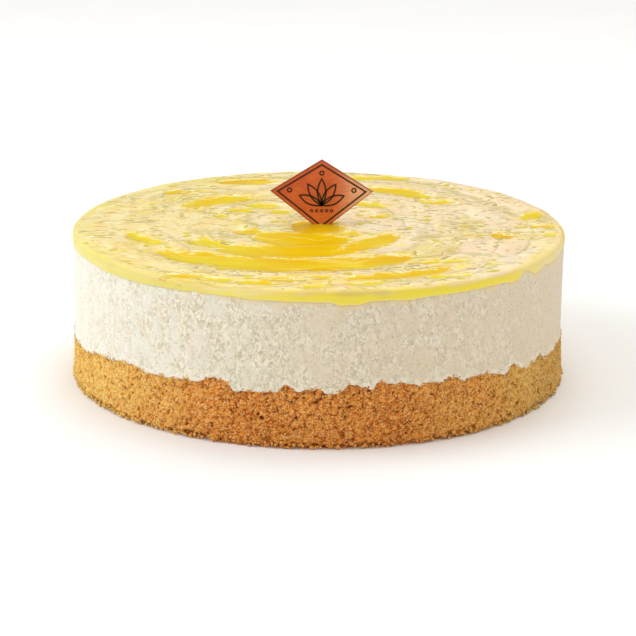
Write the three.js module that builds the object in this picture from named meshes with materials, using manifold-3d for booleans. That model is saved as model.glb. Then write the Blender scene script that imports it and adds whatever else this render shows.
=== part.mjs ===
// A small round mousse cake, whole and uncut, in millimetres with +Z up.
// It stands on z = 0 and its axis is the Z axis; the front faces -Y.
//
//   sponge_base   a crumbly sponge disc with a ragged upper edge
//   mousse        the pale mousse set on it, its foot following that ragged edge
//   fruit_glaze   a poured fruit gel with the low swirl ridges of a turning palette knife
//   plaque        a thin kite-shaped plaque with its point pushed into the gel
//
// Angles round the cake are azimuths in degrees: 0 is the front, and they grow towards +X.

import * as THREE from "three";
import { mergeVertices } from "three/addons/utils/BufferGeometryUtils.js";
import Module from "manifold-3d";

// ---- Driving dimensions --------------------------------------------------------------
const CAKE_RADIUS = 73.2; // inside of the ring that the cake was set in
const CAKE_HEIGHT = 45.1; // foot to the crest of the glaze
const SPONGE_HEIGHT = 15.8; // inside the cake
const GLAZE_FOOT = 41.3; // height of the glaze's underside inside the cake
const GAP = 0.3; // clearance between touching pieces
const STEPS = 160; // facets round the cake

// ---- The sponge's ragged upper edge ---------------------------------------------------
const SPONGE_EDGE_DEPTH = 8; // how far in from the rim the edge is uneven
const SPONGE_SLOW_WAVES = [
  // [waves round the cake, height, azimuth of a crest]
  [1, 0.3, 0],
  [2, 1.3, 0],
];
const SPONGE_CRAGS = [
  // [azimuth, half width, rise]: the crags that stand at the front
  [-47.5, 7, 1.5],
  [-29, 4, 0.6],
  [-22.5, 3.6, 1.9],
  [-13.5, 5.5, -0.7],
  [-6.6, 2.4, 1.3],
  [-1.5, 3, 0.4],
  [2.8, 1.8, -0.9],
  [7.2, 2.6, 1.7],
  [10.5, 2, 0.5],
  [15.2, 4.6, 1.9],
  [26, 8, 1.2],
  [35.5, 6.5, 1.1],
  [48.5, 2, 1.4],
  [53.8, 2.4, -0.5],
  [59.4, 2.7, 1.4],
];
const BACK_CRAGS = 26; // more of them, spread over the rest of the edge
const BACK_FROM = 68;
const BACK_TO = 292;

// ---- The glaze's wavy lower edge ------------------------------------------------------
const GLAZE_EDGE_DEPTH = 5;
const GLAZE_DRIPS = [
  // [azimuth, half width, rise]: a negative rise hangs lower
  [-48, 14, -0.4],
  [-27, 2.4, 0.5],
  [-20, 5, 0.3],
  [6.5, 5.5, -1.3],
  [19.5, 3, -0.4],
  [47.8, 2.6, -0.6],
  [52.4, 2.6, 1.4],
  [57.5, 3.2, -0.5],
  [64.5, 3, 0.5],
];
const BACK_DRIPS = 14;

// ---- The swirl on top -----------------------------------------------------------------
const SWIRL_CENTRE = new THREE.Vector2(-6, 0); // the knife's centre, off the cake's own
const RIDGE_PITCH = 15.4;
const RIDGE_TROUGH = 51; // radius of one trough about the swirl's centre
const RIDGE_HEIGHT = 0.5; // trough to crest
const RIPPLE_HEIGHT = 0.45; // of the short cross ripples
const CALM_MIDDLE = [6, 20]; // radii between which the ridges rise out of a calm middle
const STREAK_DEPTH = 0.45;
const STREAKS = [
  // [first azimuth, last azimuth, first radius, last radius, half width], about the swirl's centre:
  // where the gel lies thick and the knife left it lower
  [-57, 49, 52.3, 48.6, 4],
  [-47, 57, 34, 33.6, 3.4],
  [-48, 50, 20, 19, 5.2],
  [-14, 78, 8.5, 8, 5],
  [-158, -120, 36.5, 42, 2.3],
  [-168, -148, 61, 61.5, 2.4],
  [133, 152, 52.5, 49.5, 2.6],
  [118, 129, 56.5, 53.5, 1.8],
  [11, 41, 66, 65, 1.9],
  [-31, -10, 68, 61, 1.3],
];

// ---- The plaque -----------------------------------------------------------------------
const PLAQUE = {
  halfWidth: 15.3,
  upper: 9.6, // widest line to the top point
  lower: 12.2, // widest line to the buried point
  thickness: 1.2,
  bevel: 0.2,
  x: 0.8,
  y: 1.3,
  widestZ: 54.5,
};

const radians = THREE.MathUtils.degToRad;
const { lerp, smoothstep } = THREE.MathUtils;

// ---- Small helpers --------------------------------------------------------------------

// The angle from one azimuth to another, between -180 and 180.
function turn(from, to) {
  return THREE.MathUtils.euclideanModulo(to - from + 180, 360) - 180;
}

// 1 on a plateau about the middle and 0 at the half width, with steep flanks.
function plateau(distance, halfWidth) {
  return 1 - smoothstep(Math.abs(distance), 0.4 * halfWidth, halfWidth);
}

function sumOfBumps(azimuth, bumps) {
  return bumps.reduce((sum, [at, halfWidth, rise]) => sum + rise * plateau(turn(at, azimuth), halfWidth), 0);
}

// The fractional part of a multiple of an irrational number: an even, repeatable scatter from 0 to 1.
function scatter(index, step) {
  return (index * step) % 1;
}

function scatteredBumps(count, most, width) {
  return Array.from({ length: count }, (_, i) => [
    lerp(BACK_FROM, BACK_TO, (i + 0.8 * scatter(i + 1, 0.618)) / count),
    width * (0.6 + scatter(i + 1, 0.414)),
    most * (2 * scatter(i + 1, 0.732) - 0.9),
  ]);
}

const spongeCrags = [...SPONGE_CRAGS, ...scatteredBumps(BACK_CRAGS, 1.3, 3.4)];
const glazeDrips = [...GLAZE_DRIPS, ...scatteredBumps(BACK_DRIPS, 0.6, 5)];

function spongeEdge(azimuth) {
  const slow = SPONGE_SLOW_WAVES.reduce(
    (sum, [waves, height, crest]) => sum + height * Math.cos(waves * radians(azimuth - crest)),
    0,
  );
  return SPONGE_HEIGHT + slow + sumOfBumps(azimuth, spongeCrags);
}

function glazeEdge(azimuth) {
  return GLAZE_FOOT + sumOfBumps(azimuth, glazeDrips);
}

// A repeatable unevenness between -1 and 1, from whole numbers of waves that don't line up.
function unevenness(azimuth, z, waves) {
  const a = radians(azimuth);
  return (
    0.4 * Math.sin(waves * a + 1.7 * z) +
    0.35 * Math.sin(Math.round(1.63 * waves) * a - 2.9 * z + 1.1) +
    0.25 * Math.cos(Math.round(2.4 * waves) * a + 4.3 * z)
  );
}

// A closed surface round the Z axis. Each ring gives (radius, height, centre x) at an azimuth; the first
// ring closes on a point at the bottom and the last on a point at the top. Every quad is cut from its outer
// corner at i to its inner corner at i + 1, so two pieces that meet face to face meet facet to facet.
function ringedBody(bottomPoint, rings, topPoint) {
  const points = [bottomPoint];
  for (const ring of rings) {
    for (let i = 0; i < STEPS; i++) {
      const azimuth = (360 * i) / STEPS;
      const { radius, z, centreX = 0 } = ring(azimuth);
      const a = radians(azimuth);
      points.push(new THREE.Vector3(centreX + radius * Math.sin(a), -radius * Math.cos(a), z));
    }
  }
  points.push(topPoint);

  const widths = rings.map((ring) => ring(0).radius);
  const at = (ring, i) => 1 + ring * STEPS + (i % STEPS);
  const last = points.length - 1;
  const faces = [];
  for (let i = 0; i < STEPS; i++) {
    faces.push(0, at(0, i + 1), at(0, i));
    for (let ring = 0; ring + 1 < rings.length; ring++) {
      const [a, b, c, d] = [at(ring, i), at(ring, i + 1), at(ring + 1, i + 1), at(ring + 1, i)];
      if (widths[ring] > widths[ring + 1]) faces.push(a, b, c, a, c, d);
      else faces.push(a, b, d, b, c, d);
    }
    faces.push(at(rings.length - 1, i), at(rings.length - 1, i + 1), last);
  }
  const geometry = new THREE.BufferGeometry().setFromPoints(points);
  geometry.setIndex(faces);
  return geometry;
}

// ---- Sponge base ----------------------------------------------------------------------
const SPONGE_SPREAD = 0.7; // its foot is wider than the ring by this
const CRUMB_RELIEF = 0.5;
const FOOT_ROUND = 1.1;

function spongeGeometry() {
  const crumb = (azimuth, z) => CRUMB_RELIEF * unevenness(azimuth, 1.9 * z, 53);
  const wall = (azimuth, share) => {
    const z = lerp(FOOT_ROUND, spongeEdge(azimuth) - 1, share);
    return {
      radius: CAKE_RADIUS + lerp(SPONGE_SPREAD, 0, share) - 0.2 + crumb(azimuth, z),
      z,
    };
  };
  const wallRows = [0, 0.2, 0.4, 0.6, 0.8, 1];
  const rings = [
    () => ({ radius: CAKE_RADIUS + SPONGE_SPREAD - FOOT_ROUND - CRUMB_RELIEF, z: 0 }),
    ...wallRows.map((share) => (azimuth) => wall(azimuth, share)),
    (azimuth) => ({ radius: CAKE_RADIUS - 0.5, z: spongeEdge(azimuth) }),
    () => ({ radius: CAKE_RADIUS - SPONGE_EDGE_DEPTH, z: SPONGE_HEIGHT }),
  ];
  return ringedBody(new THREE.Vector3(0, 0, 0), rings, new THREE.Vector3(0, 0, SPONGE_HEIGHT));
}

// ---- Mousse ---------------------------------------------------------------------------
const MOUSSE_WAVER = 0.15; // how far its side strays from the ring

function mousseGeometry() {
  const foot = (azimuth) => spongeEdge(azimuth) + GAP;
  const head = (azimuth) => glazeEdge(azimuth) - GAP;
  const wall = (azimuth, share) => {
    const z = lerp(foot(azimuth) + 0.8, head(azimuth), share);
    return { radius: CAKE_RADIUS + MOUSSE_WAVER * unevenness(azimuth, 0.15 * z, 9), z };
  };
  const rings = [
    () => ({ radius: CAKE_RADIUS - SPONGE_EDGE_DEPTH, z: SPONGE_HEIGHT + GAP }),
    (azimuth) => ({ radius: CAKE_RADIUS - 0.5, z: foot(azimuth) }),
    ...[0, 0.35, 0.7, 1].map((share) => (azimuth) => wall(azimuth, share)),
    () => ({ radius: CAKE_RADIUS - GLAZE_EDGE_DEPTH, z: GLAZE_FOOT - GAP }),
  ];
  return ringedBody(
    new THREE.Vector3(0, 0, SPONGE_HEIGHT + GAP),
    rings,
    new THREE.Vector3(0, 0, GLAZE_FOOT - GAP),
  );
}

// ---- Fruit glaze ----------------------------------------------------------------------
const RIM_ROUND = [
  // [inwards from the side, below the crest]: the rounded shoulder of the glaze
  [0, 1.9],
  [0.4, 1.0],
  [1.3, 0.35],
  [2.8, 0.1],
];
const TOP_RINGS = 14;

// 1 inside a streak and 0 outside it, for a point given about the swirl's centre.
function inStreak(azimuth, radius, [first, last, firstRadius, lastRadius, halfWidth]) {
  const along = turn(first, azimuth) / (last - first);
  if (along < 0 || along > 1) return 0;
  const taper = Math.sin(Math.PI * along) ** 0.5;
  return plateau(radius - lerp(firstRadius, lastRadius, along), halfWidth * taper + 0.01);
}

// The height of the glaze at a point given about the swirl's centre.
function swirlHeight(azimuth, radius) {
  const ridge = -0.5 * RIDGE_HEIGHT * Math.cos((2 * Math.PI * (radius - RIDGE_TROUGH)) / RIDGE_PITCH);
  const ripple = 0.5 * RIPPLE_HEIGHT * unevenness(azimuth, 0.11 * radius, 6);
  const streak = Math.max(...STREAKS.map((s) => inStreak(azimuth, radius, s)));
  const crest = CAKE_HEIGHT - 0.5 * (RIDGE_HEIGHT + RIPPLE_HEIGHT);
  const wake = smoothstep(radius, ...CALM_MIDDLE);
  return crest + wake * (ridge + ripple) - STREAK_DEPTH * streak;
}

// The rings run from the cake's own centre at the rim to the swirl's centre in the middle.
function topRing(share) {
  return (azimuth) => {
    const radius = share * (CAKE_RADIUS - RIM_ROUND.at(-1)[0]);
    const centreX = SWIRL_CENTRE.x * (1 - share);
    const x = centreX - SWIRL_CENTRE.x + radius * Math.sin(radians(azimuth));
    const y = -radius * Math.cos(radians(azimuth));
    const swirlAzimuth = THREE.MathUtils.radToDeg(Math.atan2(x, -y));
    const settled = smoothstep(share, 0.9, 1); // it runs level into the rim
    const z = lerp(swirlHeight(swirlAzimuth, Math.hypot(x, y)), CAKE_HEIGHT - 0.3, settled);
    return { radius, z, centreX };
  };
}

function glazeGeometry() {
  const rings = [
    () => ({ radius: CAKE_RADIUS - GLAZE_EDGE_DEPTH, z: GLAZE_FOOT }),
    (azimuth) => ({ radius: CAKE_RADIUS, z: glazeEdge(azimuth) }),
    ...RIM_ROUND.map(([inwards, below]) => () => ({ radius: CAKE_RADIUS - inwards, z: CAKE_HEIGHT - below })),
    ...Array.from({ length: TOP_RINGS }, (_, i) => topRing(1 - (i + 1) / (TOP_RINGS + 1))),
  ];
  const middle = new THREE.Vector3(SWIRL_CENTRE.x, SWIRL_CENTRE.y, swirlHeight(0, 0));
  return ringedBody(new THREE.Vector3(0, 0, GLAZE_FOOT), rings, middle);
}

// ---- Plaque ---------------------------------------------------------------------------

// The kite grown outwards by a margin on every side, as a plate standing in the XZ plane.
function kitePlate(margin, bevel) {
  const { halfWidth, upper, lower, thickness, x, y, widestZ } = PLAQUE;
  const upperGrowth = margin * Math.hypot(halfWidth, upper);
  const lowerGrowth = margin * Math.hypot(halfWidth, lower);
  const top = upper + upperGrowth / halfWidth;
  const bottom = lower + lowerGrowth / halfWidth;
  const side = halfWidth + margin * Math.hypot(1, halfWidth / (0.5 * (upper + lower)));
  const kite = new THREE.Shape([
    new THREE.Vector2(0, -bottom),
    new THREE.Vector2(side, 0),
    new THREE.Vector2(0, top),
    new THREE.Vector2(-side, 0),
  ]);
  const depth = thickness + 2 * margin - 2 * bevel;
  const plate = new THREE.ExtrudeGeometry(kite, {
    depth,
    bevelEnabled: bevel > 0,
    bevelThickness: bevel,
    bevelSize: bevel,
    bevelOffset: -bevel,
    bevelSegments: 1,
  });
  plate.translate(0, 0, -depth / 2);
  plate.rotateX(Math.PI / 2);
  plate.translate(x, y, widestZ);
  return plate;
}

// ---- Cutting --------------------------------------------------------------------------
const wasm = await Module();
wasm.setup();

function toSolid(geometry) {
  const bare = geometry.clone();
  bare.deleteAttribute("normal");
  bare.deleteAttribute("uv");
  const merged = mergeVertices(bare, 1e-4);
  return new wasm.Manifold(
    new wasm.Mesh({
      numProp: 3,
      vertProperties: merged.attributes.position.array,
      triVerts: new Uint32Array(merged.index.array),
    }),
  );
}

function toGeometry(solid) {
  const { vertProperties, triVerts } = solid.getMesh();
  const geometry = new THREE.BufferGeometry();
  geometry.setAttribute("position", new THREE.BufferAttribute(vertProperties, 3));
  geometry.setIndex(new THREE.BufferAttribute(triVerts, 1));
  return geometry;
}

// ---- The cake -------------------------------------------------------------------------
function piece(name, geometry, colour, roughness, metalness = 0) {
  const material = new THREE.MeshStandardMaterial({ color: colour, roughness, metalness });
  const mesh = new THREE.Mesh(geometry, material);
  mesh.name = name;
  return mesh;
}

const slottedGlaze = toSolid(glazeGeometry()).subtract(toSolid(kitePlate(GAP, 0)));

const cake = new THREE.Group();
cake.add(
  piece("sponge_base", spongeGeometry(), 0xcf9550, 0.95),
  piece("mousse", mousseGeometry(), 0xece2c8, 0.8),
  piece("fruit_glaze", toGeometry(slottedGlaze), 0xf0d055, 0.15),
  piece("plaque", kitePlate(0, PLAQUE.bevel), 0xb85a30, 0.35, 0.3),
);

export default cake;
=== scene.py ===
"""The looks of a small round mousse cake: crumbly sponge, pale mousse, swirled fruit gel and a plaque.

Lengths are in millimetres in the pieces and their paints, and in metres in the floor, the lights and the
camera. Angles round the cake are azimuths in degrees: 0 is the front (-Y), and they grow towards +X.
"""

import math

import bmesh
import bpy
import numpy as np
from mathutils import Matrix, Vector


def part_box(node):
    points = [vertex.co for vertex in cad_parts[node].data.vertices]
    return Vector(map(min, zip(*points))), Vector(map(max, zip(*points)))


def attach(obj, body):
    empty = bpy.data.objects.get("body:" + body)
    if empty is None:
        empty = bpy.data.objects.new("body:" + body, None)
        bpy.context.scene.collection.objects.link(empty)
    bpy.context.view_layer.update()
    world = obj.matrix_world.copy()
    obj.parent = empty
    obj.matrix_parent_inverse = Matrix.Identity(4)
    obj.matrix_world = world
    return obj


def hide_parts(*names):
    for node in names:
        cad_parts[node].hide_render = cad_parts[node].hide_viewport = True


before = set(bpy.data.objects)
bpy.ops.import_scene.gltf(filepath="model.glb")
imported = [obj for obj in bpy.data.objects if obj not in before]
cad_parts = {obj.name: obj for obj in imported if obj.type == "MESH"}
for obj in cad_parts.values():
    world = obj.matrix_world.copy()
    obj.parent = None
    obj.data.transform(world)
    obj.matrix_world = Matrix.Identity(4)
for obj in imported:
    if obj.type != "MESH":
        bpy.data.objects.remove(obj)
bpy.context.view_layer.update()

METRE = 1000.0

# ---- Sizes that come from the frame ----
CAKE_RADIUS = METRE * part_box("fruit_glaze")[1].x
CAKE_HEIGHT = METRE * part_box("fruit_glaze")[1].z
PLAQUE_LOW, PLAQUE_HIGH = (METRE * np.array(corner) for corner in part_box("plaque"))

# ---- The swirl on top ----
SWIRL_CENTRE = np.array([-6.0, 0.0])  # the palette knife's centre, off the cake's own
RIDGE_PITCH = 15.4
RIDGE_TROUGH = 51.0  # radius of one trough about the swirl's centre
RIDGE_HEIGHT = 0.5
CALM_MIDDLE = (6.0, 20.0)  # radii between which the ridges rise
STREAK_DEPTH = 0.35
STREAKS = [
    # where the gel lies thick: (x and y of one end, x and y of the other, bow towards the front, half width,
    # golden share), which runs from lemon at 0 to deep gold at 1 and above
    (-48, -33, 27, -38, 11, 6.6, 0.6),
    (-43, -39, 19, -45, 5, 5, 0.7),
    (-29, -29, 11, -31, 2.5, 6.6, 0.55),
    (7, -30, 23, -14, 0, 3.7, 0.75),
    (-19, -16.4, 9, -18.4, 1.5, 8.3, 0.6),
    (5, -11, 12, -11, 0, 2.4, 0.4),
    (-25, -9, -18, -9, 0.5, 2.9, 0.6),
    (-37, -21, -28, -26, 0, 3.6, 0.15),
    (-8, -4.8, 8, -4.8, 0, 7, 1),
    (-56, -14, -48, -22, 0, 2.4, 0),
    (-49, -23, -45, -23.5, 0, 1.9, 0),
    (51, -13, 57, -12.5, 0, 2.9, 1.2),
    (61, 10, 68, 14, 0, 2.8, 0.3),
    (63, -1, 70.5, -0.5, 0, 3, 0.9),
    (64, -11.5, 71, -11, 0, 1.4, 0.3),
    (8, -61, 36, -49, 2, 2.4, 0.6),
    (8, -65, 18, -64, 0.5, 1.8, 0.3),
    (28, -43, 41, -41, 0.5, 1.2, 0.1),
    (29, -58, 40, -56, 0.5, 0.9, 0.1),
    (-41, -58, -31, -59, 0.3, 2.1, 0.75),
    (-32, -61.5, -23, -62, 0.3, 1.5, 0.35),
    (-21, -60, -13, -60, 0.3, 1, 0.2),
    (-16, -61.5, -4, -62, 0.3, 1, 0.35),
    (-23, -62.5, -12, -66, 0.3, 1.6, 0.35),
    (-4, -68, 2, -68, 0, 2.1, 0.15),
    (-4, -58.5, 4, -59, 0.3, 0.9, 0.2),
    (-33, 55, -15, 57, 0, 3, 0.9),
    (-41, 22, -20, 33.5, -3, 3.2, 0.45),
    (-22, 22, -12, 23, 0, 1.6, 0.1),
    (-29, 16, -21, 17, 0, 1.7, 0.1),
    (-15, 15, -9, 15, 0, 2.8, 0.3),
    (-31.5, 9, -28.5, 9.5, 0, 2, 0.3),
    (-49, 39.5, -44, 41.5, 0, 2.8, 0.8),
    (15, 47.5, 36, 35.5, -1.5, 3.5, 0.7),
    (31, 31, 43, 29.5, 0, 2.4, 0.35),
    (9, 62, 28, 62.5, -1.5, 2.3, 0.4),
    (11, 27, 20, 24.5, 0, 2.5, 0.1),
    (15, 10, 21, 10.5, 0, 1.8, 0.9),
]
SHADES = [
    # painted shade of soft hollows, which the relief doesn't have: (x and y of one end, x and y of the other,
    # half width)
    (49, 30, 61, 17, 4.3),
    (60, 17, 69, 7, 2.7),
    (41, 4, 48, -7, 3.2),
    (-34, -9, -25, -17, 2.7),
    (-48, -10, -43, -14, 2.1),
    (-45, -20, -38, -30, 1.6),
    (17, 64, 42, 49, 2.4),
    (20, 72, 41, 59, 1.6),
    (39, 53, 50, 30, 2.3),
    (27, -17, 36, -12, 2.1),
    (37, -31, 51, -37, 1.6),
    (-21, 3, -14, -8, 1.6),
    (-53, 30, -43, 45, 2.7),
    (-48, 12, -41, 15, 2.1),
]


# ---- Repeatable noise ----
def hashed(cells, salt):
    """A repeatable number from 0 to 1 for each whole-numbered cell (an array of x, y, z)."""
    x, y, z = (cells[..., i].astype(np.int64).view(np.uint64) for i in range(3))
    n = x * np.uint64(0x9E3779B97F4A7C15) ^ y * np.uint64(0xC2B2AE3D27D4EB4F)
    n = n ^ z * np.uint64(0x165667B19E3779F9) ^ np.uint64(salt * 0x27D4EB2F + 1)
    for shift in (33, 29, 32):
        n = (n ^ (n >> np.uint64(shift))) * np.uint64(0xFF51AFD7ED558CCD)
    return (n >> np.uint64(40)).astype(float) / 2**24


def noise(points, salt=0):
    """Smooth noise from -1 to 1 with one bump to a unit of length."""
    base = np.floor(points)
    t = points - base
    t = t * t * (3 - 2 * t)
    total = np.zeros(points.shape[:-1])
    for corner in np.ndindex(2, 2, 2):
        weight = np.prod(np.where(corner, t, 1 - t), axis=-1)
        total += weight * hashed(base + corner, salt)
    return 2 * total - 1


def fractal(points, octaves, salt=0):
    """Noise with finer and fainter noise on it, still about -1 to 1."""
    layers = [noise(points * 2**i + 17.3 * i, salt + i) / 2**i for i in range(octaves)]
    return sum(layers) / sum(1 / 2**i for i in range(octaves))


def nearest_grain(points, salt=0):
    """How far off the nearest grain is, with one grain in each unit cell, and its own number from 0 to 1."""
    base = np.floor(points)
    best = np.full(points.shape[:-1], 9.0)
    tag = np.zeros(points.shape[:-1])
    for step in np.ndindex(3, 3, 3):
        cell = base + np.array(step) - 1
        spot = cell + np.stack([hashed(cell, salt + i) for i in range(3)], axis=-1)
        distance = np.linalg.norm(points - spot, axis=-1)
        nearer = distance < best
        best = np.where(nearer, distance, best)
        tag = np.where(nearer, hashed(cell, salt + 7), tag)
    return best, tag


def smoothstep(x, low, high):
    """A smooth step from 0 below low to 1 above high."""
    t = np.clip((x - low) / (high - low), 0, 1)
    return t * t * (3 - 2 * t)


# ---- Shapes shared by the pieces ----
EDGE_TOLERANCE = 0.02
SPONGE_EDGE_INSET = 0.5  # the solid's ragged edge lies this far inside the cake's side
GLAZE_EDGE_RISE = 0.15  # how much higher the visible edge of the gel lies than the solid's
GLAZE_NICKS = [
    # (azimuth, half width, rise) of small changes to the gel's lower edge
    (6.5, 7, 0.35),
    (52.6, 1.4, 0.4),
    (60.4, 2.2, 0.5),
    (65.5, 3, -0.4),
]


def raised(azimuth, places, core):
    """The sum of small rises, each level over a share of its width."""
    rise = np.zeros_like(azimuth, dtype=float)
    for at, half_width, height in places:
        away = abs((azimuth - at + 180) % 360 - 180)
        rise += height * (1 - smoothstep(away, core * half_width, half_width))
    return rise


def round_cake(azimuth, table):
    """Values between those of a table of (azimuth, value)."""
    return np.interp(azimuth, *zip(*table), period=360)


def edge_of(node, radius, lowest, highest):
    """A node's ragged edge, as a function from azimuth to height, read from its corners at one radius."""
    corners = METRE * np.array([v.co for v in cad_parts[node].data.vertices])
    out = np.hypot(corners[:, 0], corners[:, 1])
    on_edge = (abs(out - radius) < EDGE_TOLERANCE) & (corners[:, 2] > lowest) & (corners[:, 2] < highest)
    azimuths = np.degrees(np.arctan2(corners[on_edge, 0], -corners[on_edge, 1]))
    heights = corners[on_edge, 2]
    return lambda azimuth: np.interp(azimuth, azimuths, heights, period=360)


sponge_edge = edge_of("sponge_base", CAKE_RADIUS - SPONGE_EDGE_INSET, 8, 30)
solid_glaze_edge = edge_of("fruit_glaze", CAKE_RADIUS, 30, CAKE_HEIGHT - 2)


def glaze_edge(azimuth):
    """The height of the gel's lower edge."""
    return solid_glaze_edge(azimuth) + GLAZE_EDGE_RISE + raised(azimuth, GLAZE_NICKS, 0.5)


def around(radius, azimuth, z):
    """Points from cylinder coordinates."""
    a = np.radians(azimuth)
    return np.stack(np.broadcast_arrays(radius * np.sin(a), -radius * np.cos(a), z), axis=-1)


def placed(name, data):
    """A new object in the scene."""
    made = bpy.data.objects.new(name, data)
    bpy.context.scene.collection.objects.link(made)
    return made


def as_piece(name, vertices, faces, slot, replaced=(), smooth=True, **attributes):
    """An object from vertices in millimetres, riding on the cake, with its numbers stored on its points."""
    mesh = bpy.data.meshes.new(name)
    mesh.from_pydata((np.asarray(vertices) / METRE).tolist(), [], np.asarray(faces).tolist())
    mesh.polygons.foreach_set("use_smooth", [smooth] * len(mesh.polygons))
    for key, values in attributes.items():
        mesh.attributes.new(key, "FLOAT", "POINT").data.foreach_set("value", np.ravel(values))
    mesh.update()
    piece = placed(name, mesh)
    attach(piece, "root")
    if replaced:
        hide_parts(*replaced)
    return piece


def ringed_faces(rings, steps):
    """Triangles of a body made of rings, closed by a point (the first) at the bottom and one at the top."""
    i = np.arange(steps)
    after = (i + 1) % steps
    first, last = 1 + i, 1 + (rings - 1) * steps + i
    bottom = np.stack([0 * i, 1 + after, first], axis=1)
    top = np.stack([last, 1 + (rings - 1) * steps + after, 0 * i + 1 + rings * steps], axis=1)
    low = 1 + steps * np.arange(rings - 1)[:, None]
    a, b = low + i, low + after
    c, d = b + steps, a + steps
    sides = np.concatenate([np.stack([a, b, c], axis=-1), np.stack([a, c, d], axis=-1)]).reshape(-1, 3)
    return np.concatenate([bottom, sides, top])


def ringed_piece(name, rings, slot, replaced, **attributes):
    """A closed body from an array of rings, with attributes given for each of their points."""

    def middle(ring):
        return [*ring[:, :2].mean(axis=0), ring[:, 2].mean()]

    vertices = np.concatenate([[middle(rings[0])], rings.reshape(-1, 3), [middle(rings[-1])]])
    for key, values in attributes.items():
        attributes[key] = np.concatenate([[values[0, 0]], values.ravel(), [values[-1, 0]]])
    return as_piece(name, vertices, ringed_faces(*rings.shape[:2]), slot, replaced, **attributes)


# ---- Materials ----
def linear(colour):
    """A linear colour with alpha from one given as 0xRRGGBB."""
    channels = [(colour >> shift & 255) / 255 for shift in (16, 8, 0)]
    return (*(c / 12.92 if c <= 0.04045 else ((c + 0.055) / 1.055) ** 2.4 for c in channels), 1)


def add_node(tree, kind, inputs, output=0, **settings):
    """Add a node, with inputs that are values or other nodes' outputs, and return an output."""
    made = tree.nodes.new(kind)
    for key, value in settings.items():
        setattr(made, key, value)
    for key, value in inputs.items():
        if isinstance(value, bpy.types.NodeSocket):
            tree.links.new(value, made.inputs[key])
        else:
            made.inputs[key].default_value = value
    return made.outputs[output]


class Paint:
    """A material written as calls, in which lengths are millimetres and colours are 0xRRGGBB or outputs.

    Most calls add a node and return its output. The colour is built up in coats, each laid over those before.
    """

    def __init__(self, name, **finish):
        self.material = bpy.data.materials.new(name)
        self.material.use_nodes = True
        self.tree = self.material.node_tree
        self.surface = self.tree.nodes["Principled BSDF"]
        for socket, value in finish.items():
            self.surface.inputs[socket.replace("_", " ")].default_value = value
        place = self.add("ShaderNodeTexCoord", {}, "Object")
        self.place = self.add("ShaderNodeVectorMath", {0: place, "Scale": METRE}, operation="SCALE")
        self.x, self.y, self.z = (self.add("ShaderNodeSeparateXYZ", {0: self.place}, i) for i in range(3))
        self.colour = None

    def add(self, kind, inputs, output=0, **settings):
        return add_node(self.tree, kind, inputs, output, **settings)

    def field(self, name):
        """What the piece's points store under a name."""
        return self.add("ShaderNodeAttribute", {}, "Fac", attribute_name=name)

    def number(self, operation, *values):
        return self.add("ShaderNodeMath", dict(enumerate(values)), operation=operation)

    def plus(self, *values):
        return self.number("ADD", *values)

    def minus(self, *values):
        return self.number("SUBTRACT", *values)

    def times(self, *values):
        product = values[0]
        for value in values[1:]:
            product = self.number("MULTIPLY", product, value)
        return product

    def noise(self, size, detail=2, rough=0.5, warp=0):
        """Noise from about 0.3 to 0.7 whose bumps are about the given size, or sizes along x, y and z."""
        sizes = size if isinstance(size, tuple) else (size, size, size)
        inputs = {0: self.place, 1: [1 / length for length in sizes]}
        place = self.add("ShaderNodeVectorMath", inputs, operation="MULTIPLY")
        inputs = {"Vector": place, "Scale": 1, "Detail": detail, "Roughness": rough, "Distortion": warp}
        return self.add("ShaderNodeTexNoise", inputs)

    def step(self, value, low, high, to_low=0, to_high=1):
        """A smooth step from to_low below low to to_high above high."""
        inputs = {"Value": value, "From Min": low, "From Max": high, "To Min": to_low, "To Max": to_high}
        return self.add("ShaderNodeMapRange", inputs, interpolation_type="SMOOTHSTEP")

    def between(self, share, low, high):
        """A number between two."""
        return self.add("ShaderNodeMix", {0: share, 2: low, 3: high}, 0, data_type="FLOAT")

    def mix(self, share, low, high, how="MIX"):
        """A colour between two."""
        low, high = (linear(colour) if isinstance(colour, int) else colour for colour in (low, high))
        return self.add("ShaderNodeMix", {0: share, 6: low, 7: high}, 2, data_type="RGBA", blend_type=how)

    def coat(self, colour, *shares, how="MIX"):
        """Lay a colour over what is there, by the product of some shares."""
        self.colour = self.mix(self.times(*shares), self.colour, colour, how)

    def bump(self, height, depth, normal=None):
        """Relief from a height between 0 and 1, as deep as the given depth."""
        inputs = {"Height": height, "Distance": depth / METRE}
        if normal:
            inputs["Normal"] = normal
        return self.add("ShaderNodeBump", inputs)

    def finish(self, normal=None, roughness=None):
        """Link the colour to the surface, with what else varies over it, and return the material."""
        for socket, output in (("Base Color", self.colour), ("Normal", normal), ("Roughness", roughness)):
            if output:
                self.tree.links.new(output, self.surface.inputs[socket])
        return self.material


# ---- Sponge base ----
HIDDEN_REACH = 4  # how far in a wall's body goes behind its visible side
SPONGE_STEPS = 1300
SPONGE_ROWS = 54
SPONGE_FOOT_OUT = 0.35  # how far the foot stands out from the cake's side
SPONGE_TAPER = 0.5  # how much further in the wall lies at its edge
SPONGE_LEDGE = [(1.1, 0.1), (5.0, 0.4)]  # (how far in, how far below the edge) of the top behind the edge
CRUMB_SIZE = 1.2
FINE_CRUMB_SIZE = 0.55 * CRUMB_SIZE
CRUMB_HEIGHT = 0.5
CRUMB_MEAN = 0.4  # of the crumb field, which stands level with the wall
CRUMB_WARP = 0.6  # how far grains are shifted out of their grid
SLOW_SWELL = 0.35
PORE_SPACING = 3.2
PORE_SHARE = 0.5  # of the cells that have one
PORE_WIDTH, PORE_WIDTH_SPREAD = 0.1, 0.16  # in pore spacings
PORE_DEPTH = 0.9
# painted shade in the pores
PORE_SHADE = 1.6  # how much darker a pore is, on the crumb's scale
WORN_HEIGHT, WORN_HEIGHT_SWING = 1.7, 1.1  # how far up the foot is worn away
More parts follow.
